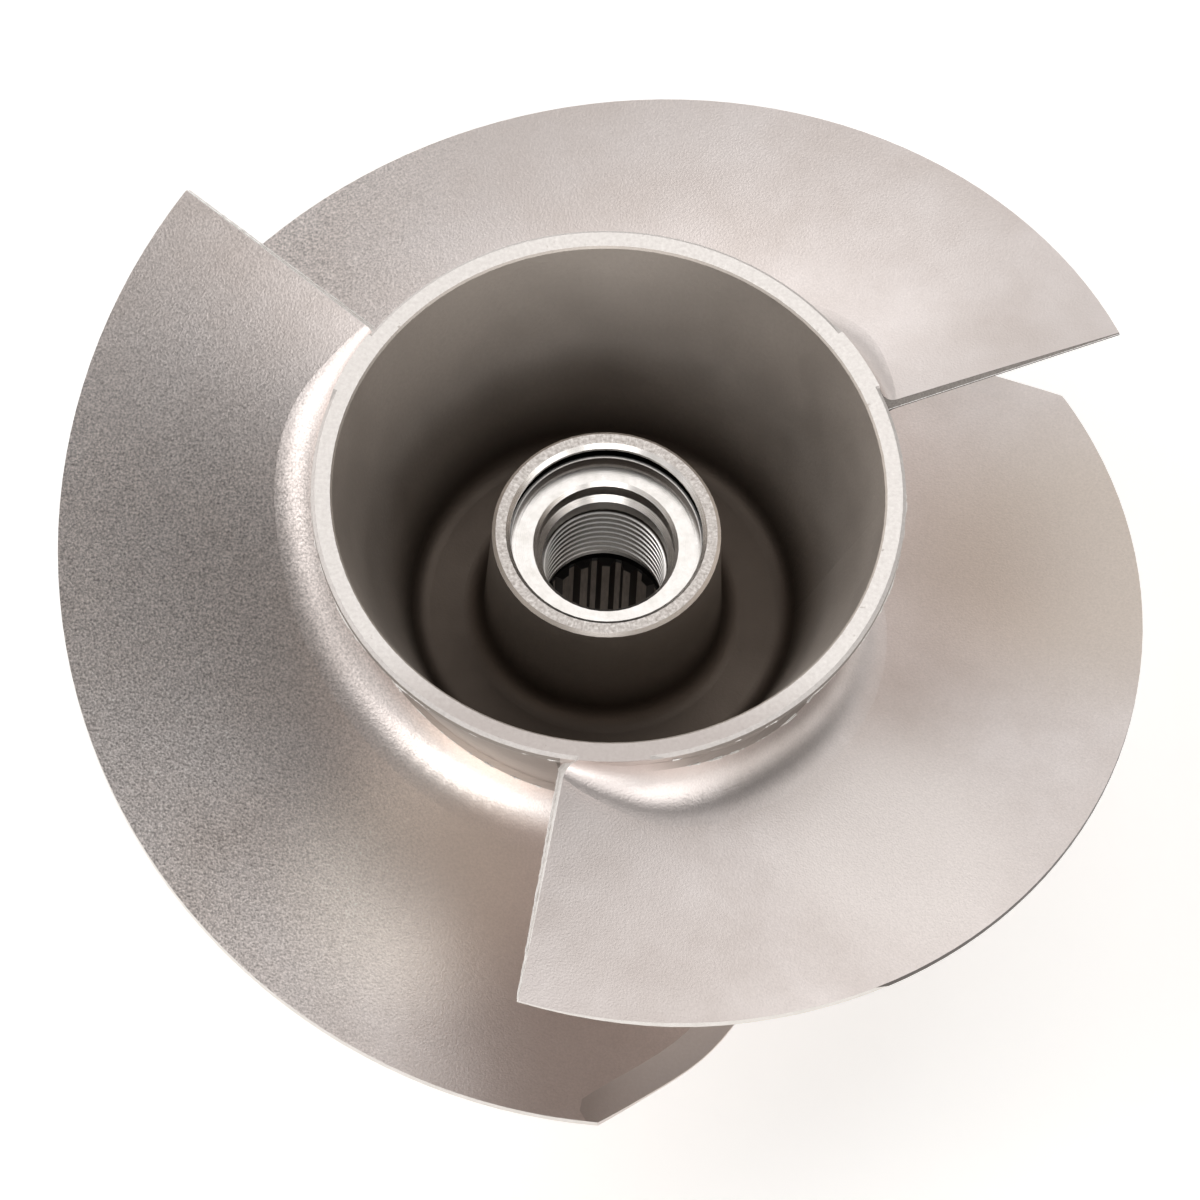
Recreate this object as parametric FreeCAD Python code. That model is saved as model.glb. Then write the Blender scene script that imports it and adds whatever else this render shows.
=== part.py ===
import FreeCAD, Part

import math
import os

from FreeCAD import Placement, Rotation, Vector

os.makedirs("parts", exist_ok=True)

# Pump impeller, cast in one piece: a conical hub, open at its wide end, with three
# twisted blades outside and a threaded, splined boss inside.
# Millimetres and degrees. The axis is Z and the hub's wide end is up. The origin is
# on the axis, in the nose face that the impeller stands on. Depths are measured
# down from the rim face at the top.

# Overall
height = 76.0
tip_radius = 77.75

# Hub shell
rim_outer_radius = 41.8
rim_width = 2.96
collar_height = 1.5
hub_cone_angle = 19.0
bowl_depth = 37.1
bowl_corner_radius = 27.0
bowl_fillet = 3.0
rim_inner_chamfer = 0.3
rim_outer_chamfer = 0.5

# Boss that stands in the bowl
boss_top_depth = 13.0
boss_radius = 16.25
boss_draft_angle = 2.2
boss_chamfer = 0.5
boss_fillet = 3.0

# Bore through the boss, from its top down
mouth_radius = 13.7
mouth_chamfer = 0.6
mouth_land = 0.5
seal_groove_radius = 14.9
seal_groove_width = 1.8
seat_bore_radius = 13.5
seat_depth = 17.2
pilot_radius = 9.8
pilot_chamfer = 0.56
pilot_length = 3.1
thread_radius = 9.0
thread_lead_in = 0.8
thread_length = 15.75
undercut_radius = 9.9
undercut_length = 1.9

# Spline below the thread
spline_teeth = 16
spline_root_radius = 8.9
spline_crest_radius = 8.0
spline_root_flat = 0.8
spline_crest_flat = 1.2
spline_lead_in = 0.9
spline_first_root = 9.9

# Nose
nose_height = 12.6
nose_blend_radius = 12.0
nose_chamfer = 1.0
nose_bore_radius = 11.5
nose_bore_depth = 12.0
nose_bore_chamfer = 1.0
boot_groove_offset = 4.0
boot_groove_width = 3.0
boot_groove_depth = 1.2

# Blades. The trailing edge's depth is that of the blade's upper face at the tip.
blade_count = 3
trailing_edge_angle = 143.5
trailing_edge_depth = 3.0
trailing_edge_rake_angle = 37.0
trailing_edge_thickness = 0.4
outlet_lead = 140.0
inlet_lead = 84.0
tip_wrap_angle = 129.0
blade_tip_thickness = 1.3
blade_thickness_ratio = 0.03
blade_taper_angle = 15.0
root_fillet = 7.5
back_fillet = 4.0
root_fillet_ratio = 0.75
rim_overrun = 0.5
fillet_sink = 0.4
root_sink = 1.3

# Leading edge: a curve in plan through points, each a radius, an angle behind the
# trailing edge, and the share of the bevel's depth there
leading_bevel_width = 4.0
leading_bevel_depth = 1.1
leading_edge = [
    (84.0, 121.8, 0),
    (77.75, 128.9, 0.1),
    (73.0, 134.4, 0.7),
    (68.0, 141.3, 1),
    (60.0, 150.2, 1),
    (52.0, 158.0, 1),
    (44.0, 164.5, 0.6),
    (36.0, 169.0, 0),
    (28.0, 171.5, 0),
    (20.0, 172.5, 0),
]

# Angles behind the trailing edge at which the blade's outline is drawn
section_angles = [-3, 0, 5, 10, 15, 27, 40, 54, 68, 82, 96, 110, 124, 138, 152, 166, 176]
loft_degree = 5
tip_allowance = 1.0

# How far a cutting tool reaches past what it cuts
clearance = 1.0

UP = Vector(0, 0, 1)
ORIGIN = Vector(0, 0, 0)
rim_inner_radius = rim_outer_radius - rim_width
cone_slope = math.tan(math.radians(hub_cone_angle))
nose_radius = rim_outer_radius - (height - collar_height - nose_height) * cone_slope


def level(depth):
    """Height above the nose face of a depth below the rim face."""
    return height - depth


def at(radius, z):
    """Point of a profile, in the XZ half-plane."""
    return Vector(radius, 0, z)


def hub_radius(z):
    """Outer radius of the hub's cone at a height."""
    return rim_outer_radius - (level(collar_height) - z) * cone_slope


def corner_arc(corner, before, after, radius):
    """Start, crown and end of the arc that rounds a corner between two directions."""
    half = before.getAngle(after) / 2
    reach = radius / math.tan(half)
    middle = (before + after).normalize()
    crown = corner + middle * (radius / math.sin(half) - radius)
    return corner + before * reach, crown, corner + after * reach


def turned(profile):
    """Solid turned about the axis from a closed profile. Each corner is a radius and a
    height, with a third value where the corner is rounded."""
    corners = [at(corner[0], corner[1]) for corner in profile]
    ends = []
    for i, corner in enumerate(corners):
        if len(profile[i]) == 2:
            ends.append((corner, None, corner))
            continue
        before = (corners[i - 1] - corner).normalize()
        after = (corners[i + 1] - corner).normalize()
        ends.append(corner_arc(corner, before, after, profile[i][2]))
    edges = []
    for i, (start, crown, end) in enumerate(ends):
        if crown is not None:
            edges.append(Part.Arc(start, crown, end).toShape())
        following = ends[(i + 1) % len(ends)][0]
        edges.append(Part.LineSegment(end, following).toShape())
    face = Part.Face(Part.Wire(edges))
    return face.revolve(ORIGIN, UP, 360)


def hub_blank():
    """Outside of the hub: rim collar, cone, and the nose with its boot groove."""
    groove_top = boot_groove_offset + boot_groove_width
    groove_floor = nose_radius - boot_groove_depth
    return turned(
        [
            (0, 0),
            (nose_radius - nose_chamfer, 0),
            (nose_radius, nose_chamfer),
            (nose_radius, boot_groove_offset),
            (groove_floor, boot_groove_offset),
            (groove_floor, groove_top),
            (nose_radius, groove_top),
            (nose_radius, nose_height, nose_blend_radius),
            (rim_outer_radius, level(collar_height)),
            (rim_outer_radius, level(rim_outer_chamfer)),
            (rim_outer_radius - rim_outer_chamfer, level(0)),
            (0, level(0)),
        ]
    )


def bowl():
    """Hollow of the hub around the boss."""
    floor = level(bowl_depth)
    boss_top = level(boss_top_depth)
    boss_foot = boss_radius + (boss_top - floor) * math.tan(math.radians(boss_draft_angle))
    return turned(
        [
            (0, boss_top),
            (boss_radius - boss_chamfer, boss_top),
            (boss_radius, boss_top - boss_chamfer),
            (boss_foot, floor, boss_fillet),
            (bowl_corner_radius, floor, bowl_fillet),
            (rim_inner_radius, level(rim_inner_chamfer)),
            (rim_inner_radius + rim_inner_chamfer, level(0)),
            (rim_inner_radius + rim_inner_chamfer, level(0) + clearance),
            (0, level(0) + clearance),
        ]
    )


def bore():
    """Stepped bore of the boss, from its mouth to the nose, without the spline.
    Returns it with the height at which the spline begins."""
    top = level(boss_top_depth)
    mouth_end = top - mouth_chamfer
    groove_top = mouth_end - mouth_land
    groove_bottom = groove_top - seal_groove_width
    seat = level(seat_depth)
    pilot_end = seat - pilot_length
    thread_top = pilot_end - thread_lead_in
    thread_end = thread_top - thread_length
    spline_top = thread_end - undercut_length
    tool = turned(
        [
            (0, top + clearance),
            (mouth_radius + mouth_chamfer, top + clearance),
            (mouth_radius + mouth_chamfer, top),
            (mouth_radius, mouth_end),
            (mouth_radius, groove_top),
            (seal_groove_radius, groove_top),
            (seal_groove_radius, groove_bottom),
            (seat_bore_radius, groove_bottom),
            (seat_bore_radius, seat),
            (pilot_radius + pilot_chamfer, seat),
            (pilot_radius, seat - pilot_chamfer),
            (pilot_radius, pilot_end),
            (thread_radius, thread_top),
            (thread_radius, thread_end),
            (undercut_radius, thread_end),
            (undercut_radius, spline_top),
            (spline_crest_radius + spline_lead_in, spline_top),
            (spline_crest_radius, spline_top - spline_lead_in),
            (spline_crest_radius, nose_bore_depth),
            (nose_bore_radius, nose_bore_depth),
            (nose_bore_radius, nose_bore_chamfer),
            (nose_bore_radius + nose_bore_chamfer, 0),
            (nose_bore_radius + nose_bore_chamfer, -clearance),
            (0, -clearance),
        ]
    )
    return tool, spline_top


def spline_grooves(top):
    """Grooves between the spline's teeth, from the undercut down to the nose bore."""
    pitch = 360 / spline_teeth
    crest_gap = 2 * math.pi * spline_crest_radius / spline_teeth - spline_crest_flat
    inner = spline_crest_radius - clearance
    flank_growth = (crest_gap - spline_root_flat) / (spline_root_radius - spline_crest_radius)
    inner_gap = crest_gap + flank_growth * clearance
    bottom = nose_bore_depth - clearance
    outline = Part.makePolygon(
        [
            Vector(inner, -inner_gap / 2, bottom),
            Vector(spline_root_radius, -spline_root_flat / 2, bottom),
            Vector(spline_root_radius, spline_root_flat / 2, bottom),
            Vector(inner, inner_gap / 2, bottom),
            Vector(inner, -inner_gap / 2, bottom),
        ]
    )
    groove = Part.Face(outline).extrude(UP * (top + clearance - bottom))
    grooves = []
    for i in range(spline_teeth):
        copy = groove.copy()
        copy.Placement = Placement(ORIGIN, Rotation(UP, spline_first_root + i * pitch))
        grooves.append(copy)
    return grooves


def blade_fall(wrap):
    """Drop of the blade's upper face at the tip, from the trailing edge to an angle
    behind it. The lead falls evenly from the outlet value to the inlet value."""
    lead_change = (outlet_lead - inlet_lead) / tip_wrap_angle
    return (outlet_lead * wrap - lead_change * wrap * wrap / 2) / 360


def tip_thickness(wrap):
    """Thickness at the tip, which thins towards the trailing edge."""
    share = min(1, max(0, wrap / blade_taper_angle))
    return trailing_edge_thickness + (blade_tip_thickness - trailing_edge_thickness) * share


def plan_direction(wrap):
    """Unit vector in plan at an angle behind the trailing edge."""
    return Vector(math.cos(math.radians(wrap)), math.sin(math.radians(wrap)), 0)


def leading_curve():
    """The leading edge in plan, from outside the tip to inside the hub, with its points."""
    points = [plan_direction(angle) * radius for radius, angle, share in leading_edge]
    curve = Part.BSplineCurve()
    curve.interpolate(points)
    return curve, points


def upper_face(radius, wrap):
    """Height of the blade's upper face, which climbs towards the hub."""
    climb = (tip_radius - radius) * blade_thickness_ratio
    return level(trailing_edge_depth + blade_fall(wrap)) + climb


def blade_section(wrap):
    """Closed outline of the blade in the half-plane at an angle behind the trailing
    edge: a level underside and an upper face that climbs towards the hub. The root
    flares into the hub by a fillet on each side, and its inner end lies in the wall."""
    under = upper_face(tip_radius, wrap) - tip_thickness(wrap)
    lean = math.radians(hub_cone_angle)
    slope = math.atan(blade_thickness_ratio)

    # The fillets meet a wall line that lies a little inside the hub's surface
    def wall(z):
        return hub_radius(z) - fillet_sink

    root_top = upper_face(wall(under), wrap)
    upper = corner_arc(
        at(wall(root_top), root_top),
        at(math.cos(slope), -math.sin(slope)),
        at(math.sin(lean), math.cos(lean)),
        min(root_fillet, (level(0) - root_top + rim_overrun) * root_fillet_ratio),
    )
    lower = corner_arc(
        at(wall(under), under),
        at(1, 0),
        at(-math.sin(lean), -math.cos(lean)),
        back_fillet,
    )
    outer = tip_radius + tip_allowance
    corners = [
        at(hub_radius(upper[2].z) - root_sink, upper[2].z),
        at(hub_radius(lower[2].z) - root_sink, lower[2].z),
        at(outer, under),
        at(outer, upper_face(outer, wrap)),
    ]
    edges = [
        Part.LineSegment(corners[3], upper[0]).toShape(),
        Part.Arc(*upper).toShape(),
        Part.LineSegment(upper[2], corners[0]).toShape(),
        Part.LineSegment(corners[0], corners[1]).toShape(),
        Part.LineSegment(corners[1], lower[2]).toShape(),
        Part.Arc(lower[2], lower[1], lower[0]).toShape(),
        Part.LineSegment(lower[0], corners[2]).toShape(),
        Part.LineSegment(corners[2], corners[3]).toShape(),
    ]
    wire = Part.Wire(edges)
    wire.Placement = Placement(ORIGIN, Rotation(UP, wrap))
    return wire


def trailing_cutter():
    """What lies behind the trailing edge: its near side is the ground end face, which
    leans back over the blade from the underside's radial edge."""
    under = level(trailing_edge_depth + trailing_edge_thickness)
    reach = 2 * root_fillet
    lean = math.tan(math.radians(trailing_edge_rake_angle))
    outline = Part.makePolygon(
        [
            Vector(0, -reach * lean, under - reach),
            Vector(0, reach * lean, under + reach),
            Vector(0, -2 * reach, under + reach),
            Vector(0, -2 * reach, under - reach),
            Vector(0, -reach * lean, under - reach),
        ]
    )
    return Part.Face(outline).extrude(Vector(2 * tip_radius, 0, 0))


def leading_cutter():
    """What lies ahead of the leading edge, through the whole height."""
    curve, points = leading_curve()
    start = points[0]
    end = points[-1]
    beyond = 2 * tip_radius
    corners = [
        end,
        Vector(end.x, -beyond, 0),
        Vector(-beyond, -beyond, 0),
        Vector(-beyond, beyond, 0),
        Vector(start.x, beyond, 0),
        start,
    ]
    outline = Part.Wire([curve.toShape()] + Part.makePolygon(corners).Edges)
    return Part.Face(outline).extrude(UP * height)


def leading_bevel():
    """What is ground off the upper face along the leading edge. It deepens from the tip
    corner and runs out where the root fillet starts."""
    curve, points = leading_curve()
    sections = []
    for point, (radius, angle, share) in zip(points, leading_edge):
        ahead = curve.tangent(curve.parameter(point))[0].cross(UP)
        start = point - ahead * leading_bevel_width
        end = point + ahead * leading_bevel_width
        top = upper_face(start.Length, math.degrees(math.atan2(start.y, start.x)))
        drop = top - upper_face(radius, angle) + leading_bevel_depth * share
        sections.append(
            Part.makePolygon(
                [
                    start + UP * top,
                    end + UP * (top - 2 * drop),
                    end + UP * (top + leading_bevel_width),
                    start + UP * (top + leading_bevel_width),
                    start + UP * top,
                ]
            )
        )
        if share == 0 and len(sections) > 1:
            break
    return Part.makeLoft(sections, True, False, False, loft_degree)


def blade():
    """One blade, with its trailing edge along +X."""
    sections = [blade_section(wrap) for wrap in section_angles]
    solid = Part.makeLoft(sections, True, False, False, loft_degree)
    solid = solid.common(Part.makeCylinder(tip_radius, height))
    return solid.cut([trailing_cutter(), leading_cutter(), leading_bevel()])


def impeller():
    """Hub and blades, fused and then bored."""
    one_blade = blade()
    blades = []
    for i in range(blade_count):
        copy = one_blade.copy()
        turn = trailing_edge_angle + i * 360 / blade_count
        copy.Placement = Placement(ORIGIN, Rotation(UP, turn))
        blades.append(copy)
    bore_tool, spline_top = bore()
    solid = hub_blank().fuse(blades)
    solid = solid.cut([bowl(), bore_tool])
    return solid.cut(spline_grooves(spline_top))


casting = impeller()
casting.exportStep("parts/impeller.step")
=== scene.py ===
import math

import bmesh
import bpy
import numpy as np
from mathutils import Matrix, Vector, noise


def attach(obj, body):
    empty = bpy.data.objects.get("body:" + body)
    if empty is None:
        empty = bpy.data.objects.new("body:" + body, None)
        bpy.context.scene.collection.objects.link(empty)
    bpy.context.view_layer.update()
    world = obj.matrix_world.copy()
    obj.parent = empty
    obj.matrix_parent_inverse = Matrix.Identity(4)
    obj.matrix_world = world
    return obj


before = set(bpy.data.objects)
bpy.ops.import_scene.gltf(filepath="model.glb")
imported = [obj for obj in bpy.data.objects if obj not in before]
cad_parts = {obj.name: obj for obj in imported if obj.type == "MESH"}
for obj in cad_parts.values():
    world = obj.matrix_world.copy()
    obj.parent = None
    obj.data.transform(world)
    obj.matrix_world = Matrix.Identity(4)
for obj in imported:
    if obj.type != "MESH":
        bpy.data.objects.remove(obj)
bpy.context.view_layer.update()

# Blades and hub.
# The impeller is one investment casting in stainless steel. Its outside was blasted with
# fine glass beads after casting, which leaves an even satin grey with a fine grit.
MM = 0.001  # a size without it is in millimetres, as the face centres are
root_body = "root"
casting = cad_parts["impeller"]
casting.data.materials.clear()

faces = casting.data.polygons
centres = np.array([face.center for face in faces]) / MM
normals = np.array([face.normal for face in faces])
radii = np.hypot(centres[:, 0], centres[:, 1])
heights = centres[:, 2]


def finish_faces(material, chosen):
    """Gives the chosen faces of the casting a material of their own."""
    casting.data.materials.append(material)
    slot = len(casting.data.materials) - 1
    for index in np.flatnonzero(chosen):
        faces[index].material_index = slot


def linear(hex_colour):
    """Linear RGBA of an sRGB hex colour."""
    shares = [int(hex_colour[i:i + 2], 16) / 255 for i in (1, 3, 5)]
    return [s / 12.92 if s <= 0.04045 else ((s + 0.055) / 1.055) ** 2.4 for s in shares] + [1.0]


def add(tree, kind, inputs, **settings):
    """Adds a node with its settings. Each input gets a value or a link."""
    node = tree.nodes.new(kind)
    for name, value in settings.items():
        setattr(node, name, value)
    for name, value in inputs.items():
        if isinstance(value, bpy.types.NodeSocket):
            tree.links.new(value, node.inputs[name])
        else:
            node.inputs[name].default_value = value
    return node


def new_material(name):
    """An empty material, with its node tree and the place in the frame that it shares with the CAD."""
    material = bpy.data.materials.new(name)
    material.use_nodes = True
    tree = material.node_tree
    tree.nodes.clear()
    place = add(tree, "ShaderNodeTexCoord", {}).outputs["Object"]
    return material, tree, place


# Bead-blasted stainless steel. The grit is drawn at 0.34 mm, coarser than the real
# dents of about 0.1 mm, so that it shows. Its speckles are partly painted light and shade:
# their contrast is strong at the left and weak from the middle on, to stand in for the light
# that picks the dents out there, and more even towards the rim. Stains are some centimetres wide.
grit_size = 0.34 * MM
grit_depth = 0.036 * MM
fine_grit_side = -20 * MM
coarse_grit_side = -52 * MM
even_grit_start = 62 * MM
even_grit_end = 71 * MM
stain_size = 26 * MM
blasted_light = "#ddd4d0"
blasted_dark = "#cbc0ba"

blasted_steel, tree, place = new_material("bead_blasted_stainless_steel")
grit = add(
    tree,
    "ShaderNodeTexNoise",
    {"Vector": place, "Scale": 1 / grit_size, "Detail": 2.5, "Roughness": 0.62},
)
stain = add(
    tree,
    "ShaderNodeTexNoise",
    {"Vector": place, "Scale": 1 / stain_size, "Detail": 4.0, "Roughness": 0.6},
)
stain_share = add(
    tree, "ShaderNodeMapRange", {"Value": stain.outputs["Fac"], "From Min": 0.32, "From Max": 0.7}
)
stained = add(
    tree,
    "ShaderNodeMix",
    {"Factor": stain_share.outputs["Result"], 6: linear(blasted_light), 7: linear(blasted_dark)},
    data_type="RGBA",
)

# Three wide patches lie over that, each with its middle, its reach and its colour. They are
# painted reflections of warm surroundings: paler steel at the lower blade's root and on the
# right-hand blade's front, and a tan patch near the right-hand blade's tip.
wide_stains = (
    ((-24, -46, 41), 25, "#f3e8df"),
    ((43, -43, 55), 26, "#e1d8d3"),
    ((68, 12, 39), 34, "#cfc3b9"),
)
stained_tone = stained.outputs[2]
# Painted reflections: each patch mixes its warm colour over the steel.
for middle, reach, stain_tone in wide_stains:
    gap = add(
        tree, "ShaderNodeVectorMath", {0: place, 1: [v * MM for v in middle]}, operation="DISTANCE"
    )
    stain_share = add(
        tree,
        "ShaderNodeMapRange",
        {"Value": gap.outputs["Value"], "From Min": reach * MM, "From Max": reach / 3 * MM},
        interpolation_type="SMOOTHSTEP",
    )
    stained_tone = add(
        tree,
        "ShaderNodeMix",
        {"Factor": stain_share.outputs["Result"], 6: stained_tone, 7: linear(stain_tone)},
        data_type="RGBA",
    ).outputs[2]

spot = add(tree, "ShaderNodeSeparateXYZ", {"Vector": place})
# Painted light and shade: the grit's contrast grows towards the left.
coarseness = add(
    tree,
    "ShaderNodeMapRange",
    {
        "Value": spot.outputs["X"],
        "From Min": fine_grit_side,
        "From Max": coarse_grit_side,
        "To Min": 0.16,
        "To Max": 1.3,
    },
)
speckle = add(
    tree,
    "ShaderNodeMapRange",
    {"Value": grit.outputs["Fac"], "From Min": 0.25, "From Max": 0.75, "To Min": -0.5, "To Max": 0.5},
)
evenness = add(
    tree,
    "ShaderNodeMapRange",
    {
        "Value": spot.outputs["Z"],
        "From Min": even_grit_start,
        "From Max": even_grit_end,
        "To Min": 1.0,
        "To Max": 0.4,
    },
)
contrast = add(
    tree,
    "ShaderNodeMath",
    {0: coarseness.outputs["Result"], 1: evenness.outputs["Result"]},
    operation="MULTIPLY",
)
grit_shade = add(
    tree,
    "ShaderNodeMath",
    {0: speckle.outputs["Result"], 1: contrast.outputs["Value"], 2: 1.0},
    operation="MULTIPLY_ADD",
)
shaded = add(
    tree,
    "ShaderNodeMix",
    {"Factor": 1.0, 6: stained_tone, 7: grit_shade.outputs["Value"]},
    data_type="RGBA",
    blend_type="MULTIPLY",
)
grit_roughness = add(
    tree,
    "ShaderNodeMapRange",
    {"Value": stain.outputs["Fac"], "From Min": 0.3, "From Max": 0.7, "To Min": 0.33, "To Max": 0.38},
)
grit_bump = add(
    tree, "ShaderNodeBump", {"Height": grit.outputs["Fac"], "Distance": grit_depth, "Strength": 1.0}
)
blasted_surface = add(
    tree,
    "ShaderNodeBsdfPrincipled",
    {"Metallic": 1.0, "Normal": grit_bump.outputs["Normal"]},
)
add(tree, "ShaderNodeOutputMaterial", {"Surface": blasted_surface.outputs["BSDF"]})
finish_faces(blasted_steel, radii >= 0)

# Hub wall.
# After blasting, the cone under the rim was turned down into the blade roots. It is drawn
# smooth, darker than the blasted steel and a little streaked round the axis. The tool didn't get
# far under the blades, or into the root beside each trailing edge.
rim_outer_radius = 41.8
collar_bottom = 74.5
collar_blur = 0.05
hub_cone_angle = 19.0
cut_depth = 0.9
cut_blur = 0.03
first_edge = 143.5
blade_spacing = 120
blade_level = 72.5
blade_fall = 20.0
tool_reach = 22.0
root_start = 21.0
root_blur = 5
smeared_light = "#b0a8a2"
smeared_dark = "#968f89"
collar_light = "#a59e98"
smeared_roughness = 0.5
streak_size = 0.5 * MM
streak_squeeze = 0.12

in_plan = add(tree, "ShaderNodeVectorMath", {0: place, 1: (1, 1, 0)}, operation="MULTIPLY")
from_axis = add(tree, "ShaderNodeVectorMath", {0: in_plan.outputs["Vector"]}, operation="LENGTH")
cone_slope = math.tan(math.radians(hub_cone_angle))
leaning = add(
    tree,
    "ShaderNodeMath",
    {0: spot.outputs["Z"], 1: -cone_slope, 2: from_axis.outputs["Value"]},
    operation="MULTIPLY_ADD",
)
cone_at_axis = (rim_outer_radius - collar_bottom * cone_slope) * MM
untouched = add(
    tree,
    "ShaderNodeMapRange",
    {
        "Value": leaning.outputs["Value"],
        "From Min": cone_at_axis + (cut_depth - cut_blur) * MM,
        "From Max": cone_at_axis + (cut_depth + cut_blur) * MM,
    },
)
azimuth = add(tree, "ShaderNodeMath", {0: spot.outputs["Y"], 1: spot.outputs["X"]}, operation="ARCTAN2")
past_edge = add(
    tree, "ShaderNodeMath", {0: azimuth.outputs["Value"], 1: -math.radians(first_edge)}, operation="ADD"
)
behind = add(
    tree,
    "ShaderNodeMath",
    {0: past_edge.outputs["Value"], 1: math.radians(blade_spacing)},
    operation="FLOORED_MODULO",
)
above_blade = add(
    tree,
    "ShaderNodeMath",
    {0: behind.outputs["Value"], 1: blade_fall * MM, 2: spot.outputs["Z"]},
    operation="MULTIPLY_ADD",
)
below_blade = add(
    tree,
    "ShaderNodeMath",
    {0: above_blade.outputs["Value"], 1: blade_level * MM},
    operation="LESS_THAN",
)
far_below = add(
    tree,
    "ShaderNodeMapRange",
    {"Value": behind.outputs["Value"], "From Max": math.radians(tool_reach)},
    interpolation_type="SMOOTHSTEP",
)
unreached = add(
    tree,
    "ShaderNodeMath",
    {0: below_blade.outputs["Value"], 1: far_below.outputs["Result"]},
    operation="MULTIPLY",
)
above_root = add(
    tree,
    "ShaderNodeMath",
    {0: above_blade.outputs["Value"], 1: blade_level * MM},
    operation="GREATER_THAN",
)
near_edge = add(
    tree,
    "ShaderNodeMapRange",
    {
        "Value": behind.outputs["Value"],
        "From Min": math.radians(root_start - root_blur),
        "From Max": math.radians(root_start + root_blur),
        "To Min": 1.0,
        "To Max": 0.0,
    },
)
whole_root = add(
    tree,
    "ShaderNodeMath",
    {0: above_root.outputs["Value"], 1: near_edge.outputs["Result"]},
    operation="MULTIPLY",
)
left_alone = add(
    tree,
    "ShaderNodeMath",
    {0: untouched.outputs["Result"], 1: unreached.outputs["Value"]},
    operation="MAXIMUM",
)
blasted_share = add(
    tree,
    "ShaderNodeMath",
    {0: left_alone.outputs["Value"], 1: whole_root.outputs["Value"]},
    operation="MAXIMUM",
)
flat_place = add(
    tree,
    "ShaderNodeVectorMath",
    {0: place, 1: (streak_squeeze, streak_squeeze, 1)},
    operation="MULTIPLY",
)
streaks = add(
    tree,
    "ShaderNodeTexNoise",
    {"Vector": flat_place.outputs["Vector"], "Scale": 1 / streak_size, "Detail": 4.0, "Roughness": 0.7},
)
smeared = add(
    tree,
    "ShaderNodeMix",
    {"Factor": streaks.outputs["Fac"], 6: linear(smeared_light), 7: linear(smeared_dark)},
    data_type="RGBA",
)
on_collar = add(
    tree,
    "ShaderNodeMapRange",
    {
        "Value": spot.outputs["Z"],
        "From Min": (collar_bottom - collar_blur) * MM,
        "From Max": (collar_bottom + collar_blur) * MM,
    },
)
wall_tone = add(
    tree,
    "ShaderNodeMix",
    {"Factor": on_collar.outputs["Result"], 6: smeared.outputs[2], 7: linear(collar_light)},
    data_type="RGBA",
)
hub_tone = add(
    tree,
    "ShaderNodeMix",
    {"Factor": blasted_share.outputs["Value"], 6: wall_tone.outputs[2], 7: shaded.outputs[2]},
    data_type="RGBA",
)
hub_roughness = add(
    tree,
    "ShaderNodeMix",
    {"Factor": blasted_share.outputs["Value"], 2: smeared_roughness, 3: grit_roughness.outputs["Result"]},
)
tree.links.new(hub_tone.outputs[2], blasted_surface.inputs["Base Color"])
tree.links.new(hub_roughness.outputs[0], blasted_surface.inputs["Roughness"])
tree.links.new(blasted_share.outputs["Value"], grit_bump.inputs["Strength"])

# Turned bore and blade tips.
# The stepped bore, the bore at the nose and the tips' outer edges were turned on a lathe
# after blasting, so they are the brightest places and carry fine concentric marks.
rim_inner_radius = 38.84
tip_radius = 77.75
boss_top = 63.0
boss_radius = 16.25
bore_top = 62.4
thread_radius = 9.0
bore_reach = 15.0
undercut_top = 39.15
nose_bore_depth = 12.0
nose_bore_reach = 12.6
size_slack = 0.12
rounding = 0.01

# Turned stainless steel. The tool left marks 0.2 mm apart, which run round the axis.
turning_feed = 0.2 * MM
turning_depth = 0.006 * MM
smear_size = 2.2 * MM
turned_light = "#e2ddd9"
turned_dark = "#d6d1cb"

turned_steel, tree, place = new_material("turned_stainless_steel")
in_plan = add(tree, "ShaderNodeVectorMath", {0: place, 1: (1, 1, 0)}, operation="MULTIPLY")
from_axis = add(tree, "ShaderNodeVectorMath", {0: in_plan.outputs["Vector"]}, operation="LENGTH")
up = add(tree, "ShaderNodeSeparateXYZ", {"Vector": place})
along = add(tree, "ShaderNodeMath", {0: from_axis.outputs["Value"], 1: up.outputs["Z"]}, operation="ADD")
marks = add(
    tree,
    "ShaderNodeTexNoise",
    {"W": along.outputs["Value"], "Scale": 1 / turning_feed, "Detail": 2.0},
    noise_dimensions="1D",
)
smear = add(
    tree,
    "ShaderNodeTexNoise",
    {"Vector": place, "Scale": 1 / smear_size, "Detail": 5.0, "Roughness": 0.7},
)
smear_share = add(
    tree, "ShaderNodeMapRange", {"Value": smear.outputs["Fac"], "From Min": 0.35, "From Max": 0.7}
)
tone = add(
    tree,
    "ShaderNodeMix",
    {"Factor": smear_share.outputs["Result"], 6: linear(turned_light), 7: linear(turned_dark)},
    data_type="RGBA",
)
roughness = add(
    tree,
    "ShaderNodeMapRange",
    {"Value": smear.outputs["Fac"], "From Min": 0.3, "From Max": 0.7, "To Min": 0.2, "To Max": 0.25},
)
bump = add(
    tree, "ShaderNodeBump", {"Height": marks.outputs["Fac"], "Distance": turning_depth, "Strength": 1.0}
)
surface = add(
    tree,
    "ShaderNodeBsdfPrincipled",
    {
        "Base Color": tone.outputs[2],
        "Metallic": 1.0,
        "Roughness": roughness.outputs["Result"],
        "Normal": bump.outputs["Normal"],
    },
)
add(tree, "ShaderNodeOutputMaterial", {"Surface": surface.outputs["BSDF"]})
upward = normals[:, 2]
at_rim = (heights > collar_bottom) & (radii < rim_outer_radius + rounding) & (radii > rim_inner_radius)
on_tips = radii > tip_radius - size_slack
at_boss_top = (heights > bore_top - size_slack) & (radii < boss_radius + size_slack)
in_bore = (radii < bore_reach) & (heights < bore_top) & (heights > undercut_top)
in_nose = (heights < nose_bore_depth + size_slack) & (radii < nose_bore_reach)
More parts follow.
